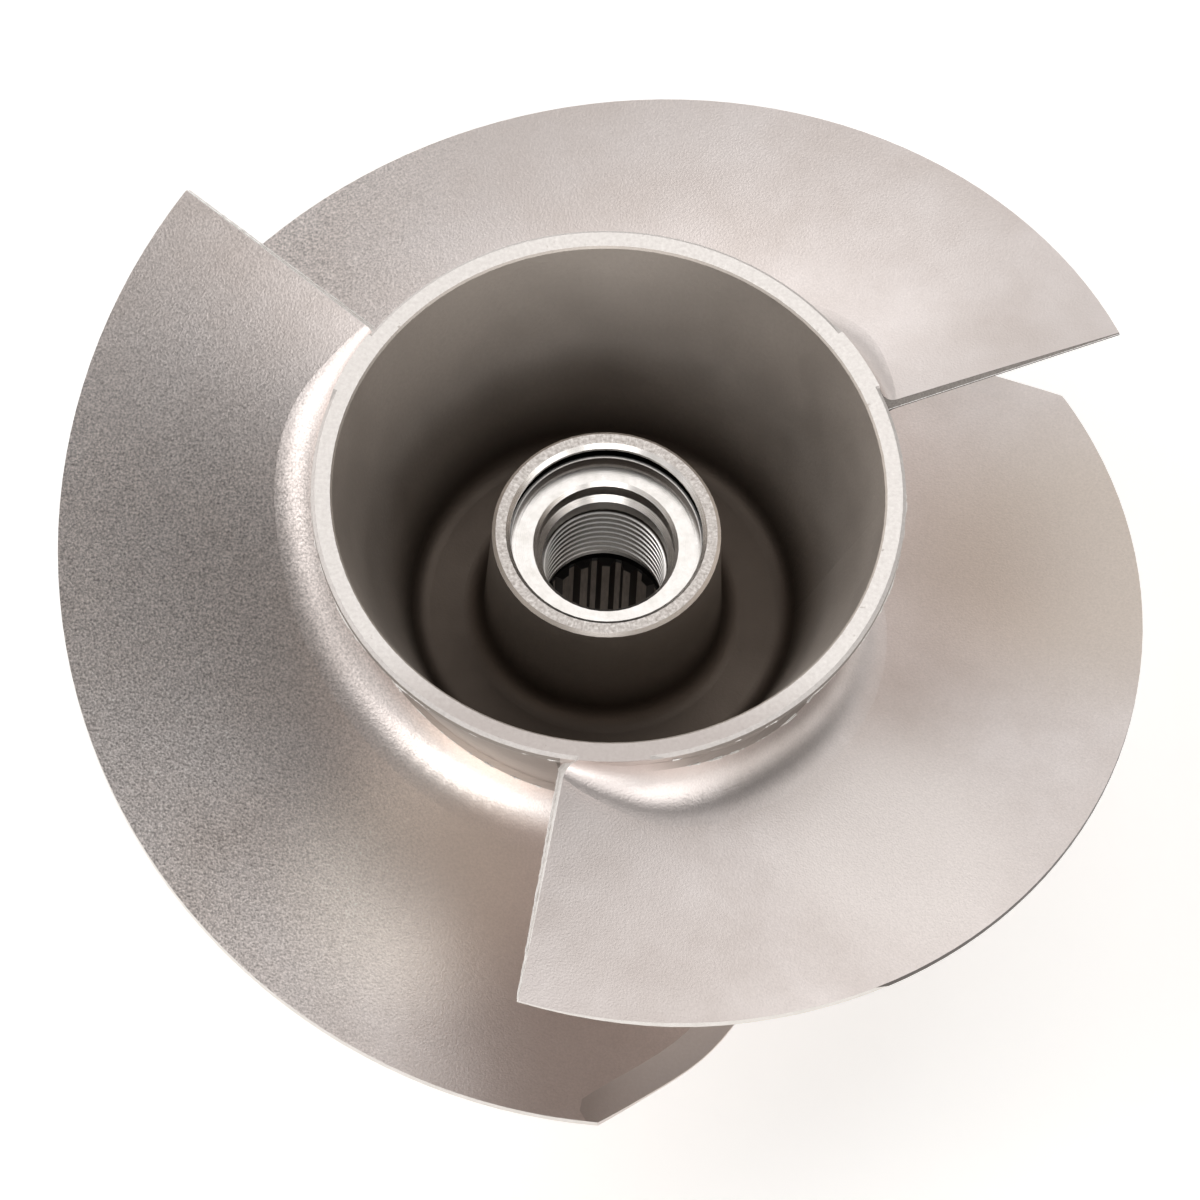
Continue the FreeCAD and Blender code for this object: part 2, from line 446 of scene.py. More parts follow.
finish_faces(turned_steel, on_tips | at_boss_top | in_bore | in_nose)

# Rim face and boss top.
# Both were faced on the lathe and then caught some of the blast, so they are pale and
# mottled, with short marks across the rim from handling and a few brown specks. The front
# of the rim is drawn darker.
faced_light = "#ece6e1"
faced_dark = "#8f837a"
faced_dull = "#b3a8a3"
speck_brown = "#8f7f72"
mottle_size = 0.5 * MM
mottle_depth = 0.012 * MM
mark_spacing = math.radians(0.9)
mark_share = 0.35
rim_contrast = 0.22
dull_start = -24 * MM
dull_end = -38 * MM
dull_share = 0.75
speck_size = 1.3 * MM
level_upward = 0.99

faced_steel, tree, place = new_material("faced_stainless_steel")
spot = add(tree, "ShaderNodeSeparateXYZ", {"Vector": place})
round_axis = add(tree, "ShaderNodeMath", {0: spot.outputs["Y"], 1: spot.outputs["X"]}, operation="ARCTAN2")
marks = add(
    tree,
    "ShaderNodeTexNoise",
    {"W": round_axis.outputs["Value"], "Scale": 1 / mark_spacing, "Detail": 4.0, "Roughness": 0.75},
    noise_dimensions="1D",
)
mottle = add(
    tree,
    "ShaderNodeTexNoise",
    {"Vector": place, "Scale": 1 / mottle_size, "Detail": 4.0, "Roughness": 0.65},
)
both = add(
    tree,
    "ShaderNodeMath",
    {0: marks.outputs["Fac"], 1: mark_share, 2: mottle.outputs["Fac"]},
    operation="MULTIPLY_ADD",
)
share = add(
    tree, "ShaderNodeMapRange", {"Value": both.outputs["Value"], "From Min": 0.4, "From Max": 1.0}
)
in_plan = add(tree, "ShaderNodeVectorMath", {0: place, 1: (1, 1, 0)}, operation="MULTIPLY")
from_axis = add(tree, "ShaderNodeVectorMath", {0: in_plan.outputs["Vector"]}, operation="LENGTH")
fading = add(
    tree,
    "ShaderNodeMapRange",
    {
        "Value": from_axis.outputs["Value"],
        "From Min": boss_radius * MM,
        "From Max": rim_inner_radius * MM,
        "To Min": 1.0,
        "To Max": rim_contrast,
    },
)
faded = add(
    tree,
    "ShaderNodeMath",
    {0: share.outputs["Result"], 1: fading.outputs["Result"]},
    operation="MULTIPLY",
)
tone = add(
    tree,
    "ShaderNodeMix",
    {"Factor": faded.outputs["Value"], 6: linear(faced_light), 7: linear(faced_dark)},
    data_type="RGBA",
)
in_front = add(
    tree,
    "ShaderNodeMapRange",
    {"Value": spot.outputs["Y"], "From Min": dull_start, "From Max": dull_end, "To Max": dull_share},
    interpolation_type="SMOOTHSTEP",
)
dulled = add(
    tree,
    "ShaderNodeMix",
    {"Factor": in_front.outputs["Result"], 6: tone.outputs[2], 7: linear(faced_dull)},
    data_type="RGBA",
)
specks = add(tree, "ShaderNodeTexNoise", {"Vector": place, "Scale": 1 / speck_size, "Detail": 2.0})
speck_share = add(
    tree,
    "ShaderNodeMapRange",
    {"Value": specks.outputs["Fac"], "From Min": 0.72, "From Max": 0.8, "To Max": 0.5},
)
speckled = add(
    tree,
    "ShaderNodeMix",
    {"Factor": speck_share.outputs["Result"], 6: dulled.outputs[2], 7: linear(speck_brown)},
    data_type="RGBA",
)
roughness = add(
    tree,
    "ShaderNodeMapRange",
    {"Value": mottle.outputs["Fac"], "From Min": 0.3, "From Max": 0.7, "To Min": 0.3, "To Max": 0.42},
)
bump = add(
    tree, "ShaderNodeBump", {"Height": both.outputs["Value"], "Distance": mottle_depth, "Strength": 1.0}
)
surface = add(
    tree,
    "ShaderNodeBsdfPrincipled",
    {
        "Base Color": speckled.outputs[2],
        "Metallic": 1.0,
        "Roughness": roughness.outputs["Result"],
        "Normal": bump.outputs["Normal"],
    },
)
add(tree, "ShaderNodeOutputMaterial", {"Surface": surface.outputs["BSDF"]})
on_rim = at_rim & (upward > level_upward)
on_boss_top = (np.abs(heights - boss_top) < size_slack) & (radii < boss_radius)
on_boss_top = on_boss_top & (upward > level_upward)
finish_faces(faced_steel, on_rim | on_boss_top)

# Bowl.
# The hollow round the boss, up to the rim's inner corner, is left as cast and pickled: a
# dull brown-grey skin, rougher and darker than the blasted outside, with faint flow marks.
# Painted shade darkens it towards the bottom and round the boss's foot.
bowl_light = "#d0c8c0"
bowl_dark = "#b0a69d"
bowl_deep = "#6a6058"
skin_size = 0.5 * MM
skin_depth = 0.03 * MM
cloud_size = 14 * MM
deep_level = 39.5 * MM
pale_level = 50 * MM
dark_reach = 17 * MM
pale_reach = 23 * MM

pickled_steel, tree, place = new_material("pickled_cast_stainless_steel")
skin = add(
    tree,
    "ShaderNodeTexNoise",
    {"Vector": place, "Scale": 1 / skin_size, "Detail": 3.0, "Roughness": 0.6},
)
cloud = add(
    tree,
    "ShaderNodeTexNoise",
    {"Vector": place, "Scale": 1 / cloud_size, "Detail": 4.0, "Roughness": 0.55},
)
clouded_skin = add(
    tree,
    "ShaderNodeMath",
    {0: cloud.outputs["Fac"], 1: skin.outputs["Fac"], 2: 0.25},
    operation="MULTIPLY_ADD",
)
tone = add(
    tree,
    "ShaderNodeMix",
    {"Factor": clouded_skin.outputs["Value"], 6: linear(bowl_light), 7: linear(bowl_dark)},
    data_type="RGBA",
)
spot = add(tree, "ShaderNodeSeparateXYZ", {"Vector": place})
# Painted shade: darker towards the bottom and, by half, round the boss's foot.
depth = add(
    tree,
    "ShaderNodeMapRange",
    {"Value": spot.outputs["Z"], "From Min": deep_level, "From Max": pale_level},
    interpolation_type="SMOOTHSTEP",
)
in_plan = add(tree, "ShaderNodeVectorMath", {0: place, 1: (1, 1, 0)}, operation="MULTIPLY")
from_axis = add(tree, "ShaderNodeVectorMath", {0: in_plan.outputs["Vector"]}, operation="LENGTH")
off_boss = add(
    tree,
    "ShaderNodeMapRange",
    {"Value": from_axis.outputs["Value"], "From Min": dark_reach, "From Max": pale_reach, "To Min": 0.5},
)
paleness = add(
    tree,
    "ShaderNodeMath",
    {0: depth.outputs["Result"], 1: off_boss.outputs["Result"]},
    operation="MULTIPLY",
)
graded = add(
    tree,
    "ShaderNodeMix",
    {"Factor": paleness.outputs["Value"], 6: linear(bowl_deep), 7: tone.outputs[2]},
    data_type="RGBA",
)
roughness = add(
    tree,
    "ShaderNodeMapRange",
    {"Value": cloud.outputs["Fac"], "From Min": 0.3, "From Max": 0.7, "To Min": 0.5, "To Max": 0.6},
)
bump = add(
    tree, "ShaderNodeBump", {"Height": skin.outputs["Fac"], "Distance": skin_depth, "Strength": 1.0}
)
surface = add(
    tree,
    "ShaderNodeBsdfPrincipled",
    {
        "Base Color": graded.outputs[2],
        "Metallic": 1.0,
        "Roughness": roughness.outputs["Result"],
        "Normal": bump.outputs["Normal"],
    },
)
add(tree, "ShaderNodeOutputMaterial", {"Surface": surface.outputs["BSDF"]})
bowl_floor = 38.9
wall_share = 1.2
boss_reach = 15.2
hub_radii = rim_outer_radius - (collar_bottom - heights) * cone_slope
in_bowl = (heights > bowl_floor - size_slack) & (radii < hub_radii - wall_share) & (radii > boss_reach)
in_bowl = in_bowl & ~at_boss_top & ~on_rim
finish_faces(pickled_steel, in_bowl)

# Seal groove.
# The groove above the seat is painted near black as painted shade, and a painted highlight
# runs along its lower edge. The short wall down to the seat is painted dark brown as painted shade.
groove_bottom = 60.1
groove_top = 61.9
seat_level = 58.8
seat_bore_radius = 13.5
groove_reach = 15.1
bright_end = 13.72 * MM
black_start = 13.86 * MM
film_top = (groove_bottom - 0.12) * MM
film_end = (groove_bottom - 0.02) * MM
grime_size = 0.6 * MM
grime_depth = 0.02 * MM
sealant_black = "#1b1714"
seat_film = "#4a413b"
rubbed_bright = "#f2eeea"

oxide_steel, tree, place = new_material("painted_shade_and_highlight_stainless_steel")
grime = add(
    tree,
    "ShaderNodeTexNoise",
    {"Vector": place, "Scale": 1 / grime_size, "Detail": 4.0, "Roughness": 0.65},
)
in_plan = add(tree, "ShaderNodeVectorMath", {0: place, 1: (1, 1, 0)}, operation="MULTIPLY")
from_axis = add(tree, "ShaderNodeVectorMath", {0: in_plan.outputs["Vector"]}, operation="LENGTH")
# Painted highlight on the lip's edge, and painted shade in the groove beyond it.
outside_lip = add(
    tree,
    "ShaderNodeMapRange",
    {"Value": from_axis.outputs["Value"], "From Min": bright_end, "From Max": black_start},
)
tone = add(
    tree,
    "ShaderNodeMix",
    {"Factor": outside_lip.outputs["Result"], 6: linear(rubbed_bright), 7: linear(sealant_black)},
    data_type="RGBA",
)
spot = add(tree, "ShaderNodeSeparateXYZ", {"Vector": place})
# Painted shade on the short wall down to the seat.
above_wall = add(
    tree,
    "ShaderNodeMapRange",
    {"Value": spot.outputs["Z"], "From Min": film_top, "From Max": film_end},
)
walled = add(
    tree,
    "ShaderNodeMix",
    {"Factor": above_wall.outputs["Result"], 6: linear(seat_film), 7: tone.outputs[2]},
    data_type="RGBA",
)
bump = add(
    tree, "ShaderNodeBump", {"Height": grime.outputs["Fac"], "Distance": grime_depth, "Strength": 1.0}
)
surface = add(
    tree,
    "ShaderNodeBsdfPrincipled",
    {"Base Color": walled.outputs[2], "Metallic": 1.0, "Roughness": 0.4, "Normal": bump.outputs["Normal"]},
)
add(tree, "ShaderNodeOutputMaterial", {"Surface": surface.outputs["BSDF"]})
past_seat = (radii > seat_bore_radius - size_slack) & (radii < groove_reach)
finish_faces(oxide_steel, past_seat & (heights > seat_level + rounding) & (heights < groove_top + rounding))

# Rim edge.
# The rim's outer corner was broken by hand with a file, which leaves it matt and a little
# greyer than the rim. The ragged edges that other tools tear are matt too, and their near-white
# is a painted highlight that stands in for the glint of torn steel.
torn_size = 0.5 * MM
torn_depth = 0.05 * MM
edge_inner_radius = 40.5
edge_upward = 0.3
ragged_finishes = []
for name, light, dark in (
    ("filed_stainless_steel", "#dcd6d2", "#b4ada8"),
    # The torn finish is near white, as a painted highlight.
    ("torn_stainless_steel_painted_highlight", "#fbf8f5", "#c9c3bd"),
):
    ragged_steel, tree, place = new_material(name)
    tears = add(
        tree,
        "ShaderNodeTexNoise",
        {"Vector": place, "Scale": 1 / torn_size, "Detail": 3.0, "Roughness": 0.7},
    )
    tone = add(
        tree,
        "ShaderNodeMix",
        {"Factor": tears.outputs["Fac"], 6: linear(light), 7: linear(dark)},
        data_type="RGBA",
    )
    bump = add(
        tree, "ShaderNodeBump", {"Height": tears.outputs["Fac"], "Distance": torn_depth, "Strength": 1.0}
    )
    surface = add(
        tree,
        "ShaderNodeBsdfPrincipled",
        {
            "Base Color": tone.outputs[2],
            "Metallic": 0.5,
            "Roughness": 0.6,
            "Normal": bump.outputs["Normal"],
        },
    )
    add(tree, "ShaderNodeOutputMaterial", {"Surface": surface.outputs["BSDF"]})
    ragged_finishes.append(ragged_steel)
filed_steel, torn_steel = ragged_finishes
on_rim_edge = at_rim & ~on_rim & (radii > edge_inner_radius) & (upward > edge_upward)
finish_faces(filed_steel, on_rim_edge)

# Groove lip.
# The inner edge of the groove is a rounded lip. It has the torn finish, whose near-white is a
# painted highlight, so it shows as a pale line all round.
lip_radius = 0.16
lip_sink = 0.05
lip_steps = 160
lip_sides = 8

mesh = bmesh.new()
rings = []
for step in range(lip_steps):
    turn = 2 * math.pi * step / lip_steps
    ring = []
    for side in range(lip_sides):
        angle = 2 * math.pi * side / lip_sides
        r = seat_bore_radius + lip_sink + lip_radius * math.cos(angle)
        z = groove_bottom - lip_sink + lip_radius * math.sin(angle)
        ring.append(mesh.verts.new((r * math.cos(turn) * MM, r * math.sin(turn) * MM, z * MM)))
    rings.append(ring)
for before, after in zip(rings, rings[1:] + rings[:1]):
    for i in range(lip_sides):
        j = (i + 1) % lip_sides
        mesh.faces.new((before[i], after[i], after[j], before[j]))
bmesh.ops.recalc_face_normals(mesh, faces=mesh.faces)
for face in mesh.faces:
    face.smooth = True
lip_mesh = bpy.data.meshes.new("groove_lip")
mesh.to_mesh(lip_mesh)
mesh.free()
lip = bpy.data.objects.new("groove_lip", lip_mesh)
bpy.context.scene.collection.objects.link(lip)
lip.data.materials.append(torn_steel)
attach(lip, root_body)

# Rubbed tips.
# The right-hand blade's outer edge gets the seal groove's material, which paints it dark:
# painted shade on the tip faces at that side.
azimuths = np.degrees(np.arctan2(centres[:, 1], centres[:, 0]))
rub_start = -58
rub_end = 16
finish_faces(oxide_steel, on_tips & (azimuths > rub_start) & (azimuths < rub_end))

# Spline.
# Below the thread the bore has a relief groove and sixteen broached teeth. The blast
# doesn't reach them, and they keep a dull brown film. The relief groove is painted near black
# and the flanks of the teeth dark brown, as painted shade.
film_light = "#e0d2c5"
film_dark = "#8a7b6e"
film_darkest = "#1d1916"
film_size = 0.45 * MM
film_depth = 0.02 * MM
film_squeeze = 0.15
teeth_top = 36.3
relief_start = (teeth_top - 0.2) * MM
relief_end = (teeth_top + 0.1) * MM
spline_reach = 10.0
flank_facing = 0.9
flank_upward = 0.1

broached_steel, tree, place = new_material("broached_stainless_steel")
streaks = add(tree, "ShaderNodeVectorMath", {0: place, 1: (1, 1, film_squeeze)}, operation="MULTIPLY")
film = add(
    tree,
    "ShaderNodeTexNoise",
    {"Vector": streaks.outputs["Vector"], "Scale": 1 / film_size, "Detail": 3.0, "Roughness": 0.65},
)
tone = add(
    tree,
    "ShaderNodeMix",
    {"Factor": film.outputs["Fac"], 6: linear(film_light), 7: linear(film_dark)},
    data_type="RGBA",
)
spot = add(tree, "ShaderNodeSeparateXYZ", {"Vector": place})
# Painted shade: the relief groove above the teeth is near black.
above_teeth = add(
    tree,
    "ShaderNodeMapRange",
    {"Value": spot.outputs["Z"], "From Min": relief_start, "From Max": relief_end},
)
shaded = add(
    tree,
    "ShaderNodeMix",
    {"Factor": above_teeth.outputs["Result"], 6: tone.outputs[2], 7: linear(film_darkest)},
    data_type="RGBA",
)
bump = add(
    tree, "ShaderNodeBump", {"Height": film.outputs["Fac"], "Distance": film_depth, "Strength": 1.0}
)
surface = add(
    tree,
    "ShaderNodeBsdfPrincipled",
    {
        "Base Color": shaded.outputs[2],
        "Metallic": 0.35,
        "Roughness": 0.55,
        "Normal": bump.outputs["Normal"],
    },
)
add(tree, "ShaderNodeOutputMaterial", {"Surface": surface.outputs["BSDF"]})
in_spline = (radii < spline_reach) & (heights < undercut_top + size_slack) & (heights > nose_bore_depth)
finish_faces(broached_steel, in_spline)
facing_axis = np.abs((normals[:, :2] * centres[:, :2]).sum(axis=1)) / radii
# Painted shade on the flanks of the teeth.
on_flanks = in_spline & (heights < teeth_top)
on_flanks = on_flanks & (facing_axis < flank_facing) & (np.abs(upward) < flank_upward)
finish_faces(oxide_steel, on_flanks)

# Leading bevel.
# The lower blade's leading edge is bevelled. The bevel is painted darker, as painted shade, so
# it shows no brighter than the blade beside it.
worn_light = "#c1bab6"
worn_dark = "#b3aaa5"
wear_size = 0.4 * MM
wear_depth = 0.02 * MM
bevel_start = -89.5
bevel_end = -50
bevel_inner_radius = 45
bevel_top = 34.6
bevel_outward = 0.1
bevel_upward = 0.965
bevel_steepest = 0.88
corner_radius = 69
corner_upward = 0.9803

worn_steel, tree, place = new_material("bevel_painted_shade_stainless_steel")
wear = add(
    tree,
    "ShaderNodeTexNoise",
    {"Vector": place, "Scale": 1 / wear_size, "Detail": 3.0, "Roughness": 0.65},
)
tone = add(
    tree,
    "ShaderNodeMix",
    {"Factor": wear.outputs["Fac"], 6: linear(worn_light), 7: linear(worn_dark)},
    data_type="RGBA",
)
bump = add(
    tree, "ShaderNodeBump", {"Height": wear.outputs["Fac"], "Distance": wear_depth, "Strength": 1.0}
)
surface = add(
    tree,
    "ShaderNodeBsdfPrincipled",
    {"Base Color": tone.outputs[2], "Metallic": 1.0, "Roughness": 0.38, "Normal": bump.outputs["Normal"]},
)
add(tree, "ShaderNodeOutputMaterial", {"Surface": surface.outputs["BSDF"]})
outward = (normals[:, :2] * centres[:, :2]).sum(axis=1) / radii
near_front = (azimuths > bevel_start) & (azimuths < bevel_end)
near_front = near_front & (heights < bevel_top) & (radii > bevel_inner_radius)
tilted = (outward > bevel_outward) & (upward < bevel_upward)
at_corner = (radii > corner_radius) & (upward < corner_upward)
on_bevel = near_front & (tilted | at_corner) & (upward > bevel_steepest) & ~on_tips
# Painted shade on the lower blade's bevel.
finish_faces(worn_steel, on_bevel)

# Trailing edges.
# Each blade's trailing edge was ground to length with a coarse wheel. The upper blade's is
# a grey band, with a painted highlight along a lip over a dark line of painted shade at its foot.
# On the other two the wheel tore the steel, so they are matt, and their near-white is a painted
# highlight.
dark_edge = first_edge - blade_spacing
pale_edges = (first_edge, first_edge - 2 * blade_spacing)
edge_rake = math.radians(37.0)
ground_light = "#96908b"
ground_dark = "#4a4541"
lip_bright = "#f4f1ee"
lip_shade = "#4e4844"
grind_size = 0.28 * MM
grind_depth = 0.06 * MM
edge_bottom = 72.6
shade_end = 0.08
lip_end = 0.2
lip_blur = 0.06
lip_wander = 0.14 * MM
same_facing = 0.995
plane_slack = 0.3

ground_steel, tree, place = new_material("ground_stainless_steel")
grind = add(
    tree,
    "ShaderNodeTexNoise",
    {"Vector": place, "Scale": 1 / grind_size, "Detail": 3.0, "Roughness": 0.75},
)
tone = add(
    tree,
    "ShaderNodeMix",
    {"Factor": grind.outputs["Fac"], 6: linear(ground_light), 7: linear(ground_dark)},
    data_type="RGBA",
)
spot = add(tree, "ShaderNodeSeparateXYZ", {"Vector": place})
wander = add(
    tree,
    "ShaderNodeMath",
    {0: grind.outputs["Fac"], 1: lip_wander, 2: spot.outputs["Z"]},
    operation="MULTIPLY_ADD",
)
# Painted highlight along the lip, and painted shade below it at the foot.
above_lip = add(
    tree,
    "ShaderNodeMapRange",
    {
        "Value": wander.outputs["Value"],
        "From Min": (edge_bottom + lip_end) * MM,
        "From Max": (edge_bottom + lip_end + lip_blur) * MM,
    },
)
with_lip = add(
    tree,
    "ShaderNodeMix",
    {"Factor": above_lip.outputs["Result"], 6: linear(lip_bright), 7: tone.outputs[2]},
    data_type="RGBA",
)
above_shade = add(
    tree,
    "ShaderNodeMapRange",
    {
        "Value": spot.outputs["Z"],
        "From Min": (edge_bottom + shade_end) * MM,
        "From Max": (edge_bottom + shade_end + lip_blur) * MM,
    },
)
shaded = add(
    tree,
    "ShaderNodeMix",
    {"Factor": above_shade.outputs["Result"], 6: linear(lip_shade), 7: with_lip.outputs[2]},
    data_type="RGBA",
)
bump = add(
    tree, "ShaderNodeBump", {"Height": grind.outputs["Fac"], "Distance": grind_depth, "Strength": 1.0}
)
surface = add(
    tree,
    "ShaderNodeBsdfPrincipled",
    {
        "Base Color": shaded.outputs[2],
        "Metallic": 1.0,
        "Roughness": 0.42,
        "Normal": bump.outputs["Normal"],
    },
)
add(tree, "ShaderNodeOutputMaterial", {"Surface": surface.outputs["BSDF"]})
for edge in (dark_edge, *pale_edges):
    turn = math.radians(edge)
    across = np.array([math.sin(turn), -math.cos(turn), 0]) * math.cos(edge_rake)
    facing = across + np.array([0, 0, math.sin(edge_rake)])
    level_gap = (centres - [0, 0, edge_bottom]) @ facing
    on_edge = (normals @ facing > same_facing) & (np.abs(level_gap) < plane_slack)
    on_edge = on_edge & (radii > rim_outer_radius)
    finish_faces(ground_steel if edge == dark_edge else torn_steel, on_edge)

# Thread.
# The shaft's thread is cut in the bore wall: right-hand, nine turns with a pitch of 1.5 mm
# and flat crests. Its ridge runs into the wall at both ends.
thread_pitch = 1.5
thread_top = 52.7
thread_bore_top = 55.0
thread_end = undercut_top + 0.1
ridge_height = 0.45
ridge_crest = 0.88
ridge_foot = 1.36
foot_sink = 0.03
foot_rise = 0.01
foot_spread = 0.02
steps_per_turn = 96
fade_steps = 30

# Cut stainless thread. The crests shine, and the valleys between them are darkened with painted shade.
crest_bright = "#f2efec"
valley_dark = "#2e2925"
crest_end = 8.66 * MM
valley_start = 8.86 * MM
oil_start = (thread_top + 0.1) * MM
oil_full = (thread_top - 0.2) * MM
wipe_size = 0.7 * MM
wipe_depth = 0.01 * MM

cut_thread_steel, tree, place = new_material("cut_thread_stainless_steel")
spot = add(tree, "ShaderNodeSeparateXYZ", {"Vector": place})
in_plan = add(tree, "ShaderNodeVectorMath", {0: place, 1: (1, 1, 0)}, operation="MULTIPLY")
from_axis = add(tree, "ShaderNodeVectorMath", {0: in_plan.outputs["Vector"]}, operation="LENGTH")
deep = add(
    tree,
    "ShaderNodeMapRange",
    {"Value": from_axis.outputs["Value"], "From Min": crest_end, "From Max": valley_start},
)
below_start = add(
    tree,
    "ShaderNodeMapRange",
    {"Value": spot.outputs["Z"], "From Min": oil_start, "From Max": oil_full},
)
# Painted shade in the valleys between the ridges.
in_valley = add(
    tree,
    "ShaderNodeMath",
    {0: deep.outputs["Result"], 1: below_start.outputs["Result"]},
    operation="MULTIPLY",
)
streaks = add(
    tree,
    "ShaderNodeTexNoise",
    {"Vector": place, "Scale": 1 / wipe_size, "Detail": 4.0, "Roughness": 0.7},
)
crest_tone = add(
    tree,
    "ShaderNodeMix",
    {"Factor": streaks.outputs["Fac"], 6: linear(crest_bright), 7: linear(turned_dark)},
    data_type="RGBA",
)
tone = add(
    tree,
    "ShaderNodeMix",
    {"Factor": in_valley.outputs["Value"], 6: crest_tone.outputs[2], 7: linear(valley_dark)},
    data_type="RGBA",
)
bump = add(
    tree, "ShaderNodeBump", {"Height": streaks.outputs["Fac"], "Distance": wipe_depth, "Strength": 1.0}
)
surface = add(
    tree,
    "ShaderNodeBsdfPrincipled",
    {"Base Color": tone.outputs[2], "Metallic": 1.0, "Roughness": 0.34, "Normal": bump.outputs["Normal"]},
)
add(tree, "ShaderNodeOutputMaterial", {"Surface": surface.outputs["BSDF"]})
in_thread = (radii < thread_radius + size_slack) & (heights > undercut_top) & (heights < thread_bore_top)
finish_faces(cut_thread_steel, in_thread)

turns = (thread_top - thread_end) / thread_pitch
step_count = int(turns * steps_per_turn)
mesh = bmesh.new()
rows = []
for step in range(step_count + 1):
    angle = -2 * math.pi * step / steps_per_turn
    z = thread_top - thread_pitch * step / steps_per_turn
    rise = min(1, step / fade_steps, (step_count - step) / fade_steps)
    outline = (
        (thread_radius + foot_sink, ridge_foot / 2 + foot_spread),
        (thread_radius - foot_rise, ridge_foot / 2),
        (thread_radius - ridge_height * rise, ridge_crest / 2),
        (thread_radius - ridge_height * rise, -ridge_crest / 2),
        (thread_radius - foot_rise, -ridge_foot / 2),
        (thread_radius + foot_sink, -ridge_foot / 2 - foot_spread),
    )
    row = []
    for r, dz in outline:
        row.append(mesh.verts.new((r * math.cos(angle) * MM, r * math.sin(angle) * MM, (z + dz) * MM)))
    rows.append(row)
for before, after in zip(rows, rows[1:]):
    for i in range(len(before)):
        j = (i + 1) % len(before)
        mesh.faces.new((before[i], after[i], after[j], before[j]))
mesh.faces.new(rows[0])
mesh.faces.new(rows[-1][::-1])
bmesh.ops.recalc_face_normals(mesh, faces=mesh.faces)
thread_mesh = bpy.data.meshes.new("thread_ridges")
mesh.to_mesh(thread_mesh)
mesh.free()
thread = bpy.data.objects.new("thread_ridges", thread_mesh)
bpy.context.scene.collection.objects.link(thread)
thread.data.materials.append(cut_thread_steel)
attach(thread, root_body)

# Burrs.
# Turning the hub wall raised a thin pale burr where the cut ends in the blade roots, and
# another under the collar. Both are torn into dashes. Grinding left a ragged one that never
# stops on two of the trailing edges. Their pale colour is a painted highlight.
wall_burr = 0.45
collar_burr = 0.35
edge_burr = 0.15
burr_step = 0.4
burr_sides = 5
least_thickness = 0.003
dash_length = 2.6
dash_grain = 0.5
dash_thickest = 0.5
ragged_length = 0.6
underside = -0.2
foot_gap = 1
tip_gap = 0.3
cut_top = 73.6
cut_bottom = 38.0
edge_top = 73.0


def dashes(point):
    """Share of the full thickness of a burr at a point: none between the dashes."""
    wave = noise.noise(point / dash_length) + 0.5 * noise.noise(point / dash_grain)
    return min(dash_thickest, max(0.0, wave))


def ragged(point):
    """Share of the full thickness at a point of a burr that never stops."""
    return 0.7 + 0.6 * noise.noise(point / ragged_length)


corners = [Vector(vert.co) / MM for vert in casting.data.vertices]
past_cut = []
for v in corners:
    past_wall = math.hypot(v.x, v.y) - rim_outer_radius + (collar_bottom - v.z) * cone_slope
    past_cut.append(past_wall - cut_depth)
runs = []
for face in faces:
    if not cut_bottom < heights[face.index] < cut_top or upward[face.index] < underside:
        continue
    if (azimuths[face.index] - first_edge) % blade_spacing < root_start:
        continue
    loop = list(face.vertices)
    crossings = []
    for i, j in zip(loop, loop[1:] + loop[:1]):
        if past_cut[i] * past_cut[j] < 0:
            share = past_cut[i] / (past_cut[i] - past_cut[j])
            crossings.append(corners[i].lerp(corners[j], share))
    if len(crossings) == 2:
        runs.append((*crossings, wall_burr, dashes))
for step in range(360):
    if (step - first_edge) % blade_spacing < root_start:
        continue
    ends = []
    for angle in (math.radians(step), math.radians(step + 1)):
        x = rim_outer_radius * math.cos(angle)
        y = rim_outer_radius * math.sin(angle)
        ends.append(Vector((x, y, collar_bottom)))
    runs.append((*ends, collar_burr, dashes))
for edge in pale_edges:
    outwards = Vector((math.cos(math.radians(edge)), math.sin(math.radians(edge)), 0))
    foot = outwards * (rim_outer_radius + foot_gap) + Vector((0, 0, edge_top))
    tip = outwards * (tip_radius - tip_gap) + Vector((0, 0, edge_top))
    runs.append((foot, tip, edge_burr, ragged))

mesh = bmesh.new()
for start, end, thickness, share_at in runs:
    if (end - start).length == 0:
        continue
    parts = math.ceil((end - start).length / burr_step)
    along = (end - start).normalized()
    side = along.cross(Vector((0, 0, 1))).normalized()
    marks = [start.lerp(end, i / parts) for i in range(parts + 1)]
    sizes = [thickness * share_at(mark) for mark in marks]
    for i in range(parts):
        if max(sizes[i], sizes[i + 1]) == 0:
            continue
        rings = []
        for point, size in zip(marks[i:i + 2], sizes[i:i + 2]):
            ring = []
            for corner in range(burr_sides):
                angle = 2 * math.pi * corner / burr_sides
                arm = side * math.cos(angle) + along.cross(side) * math.sin(angle)
                ring.append(mesh.verts.new((point + arm * max(size, least_thickness)) * MM))
            rings.append(ring)
        for k in range(burr_sides):
            j = (k + 1) % burr_sides
            mesh.faces.new((rings[0][k], rings[1][k], rings[1][j], rings[0][j]))
        mesh.faces.new(rings[0])
        mesh.faces.new(rings[1][::-1])
bmesh.ops.recalc_face_normals(mesh, faces=mesh.faces)
burr_mesh = bpy.data.meshes.new("turning_burrs")
mesh.to_mesh(burr_mesh)
mesh.free()
burrs = bpy.data.objects.new("turning_burrs", burr_mesh)
bpy.context.scene.collection.objects.link(burrs)
burrs.data.materials.append(torn_steel)
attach(burrs, root_body)

# Floor.
# A wide sheet of matt white card, on which the impeller stands on its nose. Its fibres are
# drawn 3 mm wide, far coarser than real ones, and it glows a little, as card lit from below.
card_white = "#fbfaf8"
fibre_size = 3 * MM
fibre_depth = 0.02 * MM
floor_reach = 6.0
floor_level = -0.0002
table_glow = 0.27

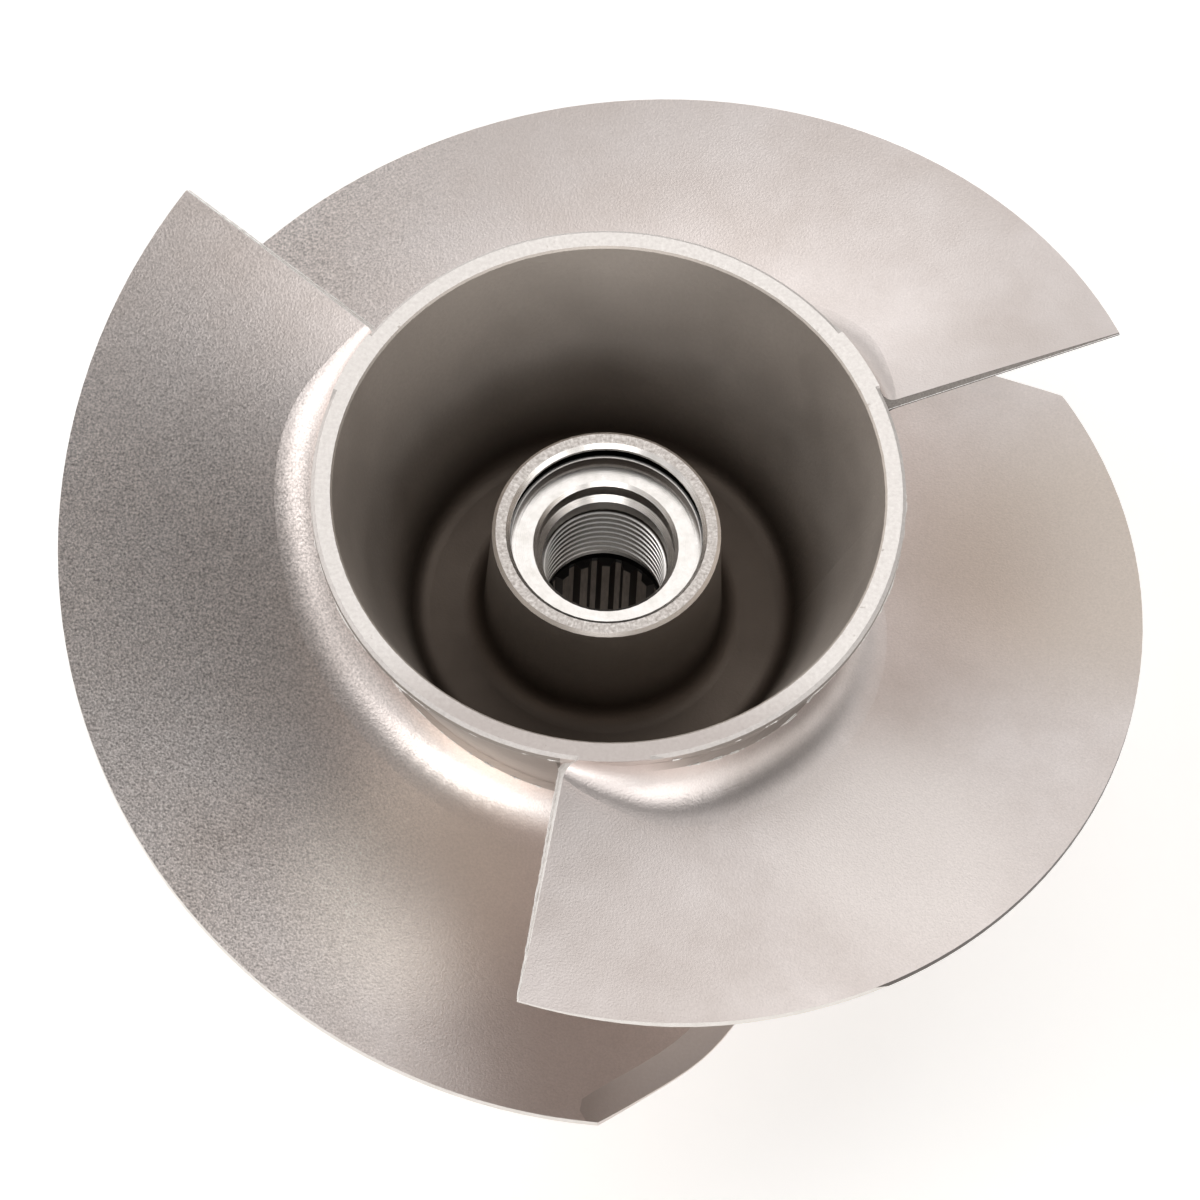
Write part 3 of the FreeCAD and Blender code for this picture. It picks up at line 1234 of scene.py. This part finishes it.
card, tree, place = new_material("matt_white_card")
fibre = add(tree, "ShaderNodeTexNoise", {"Vector": place, "Scale": 1 / fibre_size, "Detail": 3.0})
bump = add(
    tree, "ShaderNodeBump", {"Height": fibre.outputs["Fac"], "Distance": fibre_depth, "Strength": 0.3}
)
surface = add(
    tree,
    "ShaderNodeBsdfPrincipled",
    {
        "Base Color": linear(card_white),
        "Roughness": 0.9,
        "Normal": bump.outputs["Normal"],
        "Emission Color": linear(card_white),
        "Emission Strength": table_glow,
    },
)
add(tree, "ShaderNodeOutputMaterial", {"Surface": surface.outputs["BSDF"]})
floor_mesh = bpy.data.meshes.new("floor")
card_corners = []
for x, y in ((-1, -1), (1, -1), (1, 1), (-1, 1)):
    card_corners.append((x * floor_reach, y * floor_reach, floor_level))
floor_mesh.from_pydata(card_corners, [], [(0, 1, 2, 3)])
floor = bpy.data.objects.new("floor", floor_mesh)
bpy.context.scene.collection.objects.link(floor)
floor.data.materials.append(card)

# Light.
# A round white tent, lit from outside. Its wall glows all round except at the right, its
# top is dark, and brighter panels hang behind, above the back, at the left and in front.
scene = bpy.context.scene
scene.view_settings.view_transform = "Standard"
wall_azimuths = range(60, 331, 30)
wall_elevation = 17
wall_glow = 0.51
upper_azimuths = range(36, 325, 36)
upper_elevation = 42
upper_glow = 0.33
lobe_spread = 30

# Each panel is a soft lobe with its azimuth, its elevation, its spread and its glow.
panels = [(azimuth, wall_elevation, lobe_spread, wall_glow) for azimuth in wall_azimuths]
panels += [(azimuth, upper_elevation, lobe_spread, upper_glow) for azimuth in upper_azimuths]
panels += [
    (60, 66, lobe_spread, 0.95),
    (90, 64, 18, 0.53),
    (36, upper_elevation, lobe_spread, 0.45),
    (180, upper_elevation, lobe_spread, 1.64),
    (120, wall_elevation, lobe_spread, 0.54),
    (150, wall_elevation, lobe_spread, 1.24),
    (270, wall_elevation, lobe_spread, 2.38),
    (330, wall_elevation, lobe_spread, 1.56),
]

tent = bpy.data.worlds.new("white_tent")
scene.world = tent
tent.use_nodes = True
tree = tent.node_tree
tree.nodes.clear()
looking = add(tree, "ShaderNodeTexCoord", {}).outputs["Generated"]
brightness = 0.0
for azimuth, elevation, spread, glow in panels:
    around = math.radians(azimuth)
    above = math.radians(elevation)
    towards = (math.cos(around) * math.cos(above), math.sin(around) * math.cos(above), math.sin(above))
    nearness = add(tree, "ShaderNodeVectorMath", {0: looking, 1: towards}, operation="DOT_PRODUCT")
    panel = add(
        tree,
        "ShaderNodeMapRange",
        {
            "Value": nearness.outputs["Value"],
            "From Min": math.cos(math.radians(spread)),
            "From Max": 1.0,
            "To Max": glow,
        },
        interpolation_type="SMOOTHSTEP",
    )
    total = add(tree, "ShaderNodeMath", {0: panel.outputs["Result"], 1: brightness}, operation="ADD")
    brightness = total.outputs[0]
lit = add(tree, "ShaderNodeBackground", {"Color": linear("#ffffff"), "Strength": brightness})
add(tree, "ShaderNodeOutputWorld", {"Surface": lit.outputs["Background"]})

# Camera.
# A long lens from 1.3 m away, 64 degrees above the floor and turned by a few degrees. Its
# place was worked out from the ellipses of the rim, the boss and the blade tips.
camera_data = bpy.data.cameras.new("camera")
camera_data.sensor_width = 36.0
camera_data.lens = 265.19
camera = bpy.data.objects.new("camera", camera_data)
scene.collection.objects.link(camera)
camera.location = (0, -0.561518, 1.181583)
camera.rotation_euler = [math.radians(a) for a in (26.1857, -1.3555, 2.7973)]
scene.camera = camera
